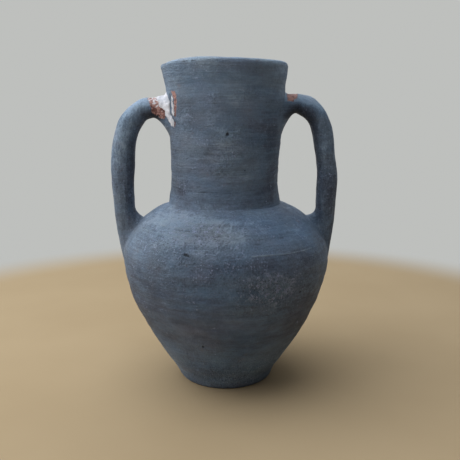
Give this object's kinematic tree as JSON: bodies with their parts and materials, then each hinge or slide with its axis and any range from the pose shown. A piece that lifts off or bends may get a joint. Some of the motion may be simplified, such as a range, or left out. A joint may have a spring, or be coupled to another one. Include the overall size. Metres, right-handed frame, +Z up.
{
  "type": "two-handled clay vase",
  "caption": "Hand-built terracotta amphora vase with a tapering body, domed shoulder, tall neck, flared lip and two strap handles, under a matt slate-blue painted coat with a plaster repair",
  "frame": {"origin": "on the pot's axis, at the flat face that it stands on", "axes": "+Z up along the pot's axis, X through both handles, +X towards the right handle as seen from the front, -Y towards the front"},
  "size_m": [0.2444, 0.2238, 0.344],
  "materials": {
    "painted_clay": "matt chalky slate-blue coat over terracotta",
    "painted_handle": "matt chalky slate-blue coat, lighter on the upper side",
    "chipped_root": "matt coat chipped back to bare red-orange terracotta",
    "plaster": "dry white filler"
  },
  "bodies": {
    "root": {"base_disc": "painted_clay", "lower_body": "painted_clay", "shoulder": "painted_clay", "neck": "painted_clay", "lip_coil": "painted_clay", "handle_left": "painted_handle", "handle_right": "painted_handle", "upper_root_left": "chipped_root", "upper_root_right": "chipped_root", "lower_root_left": "painted_handle", "lower_root_right": "painted_handle", "plaster_repair": "plaster"}
  },
  "joints": []
}
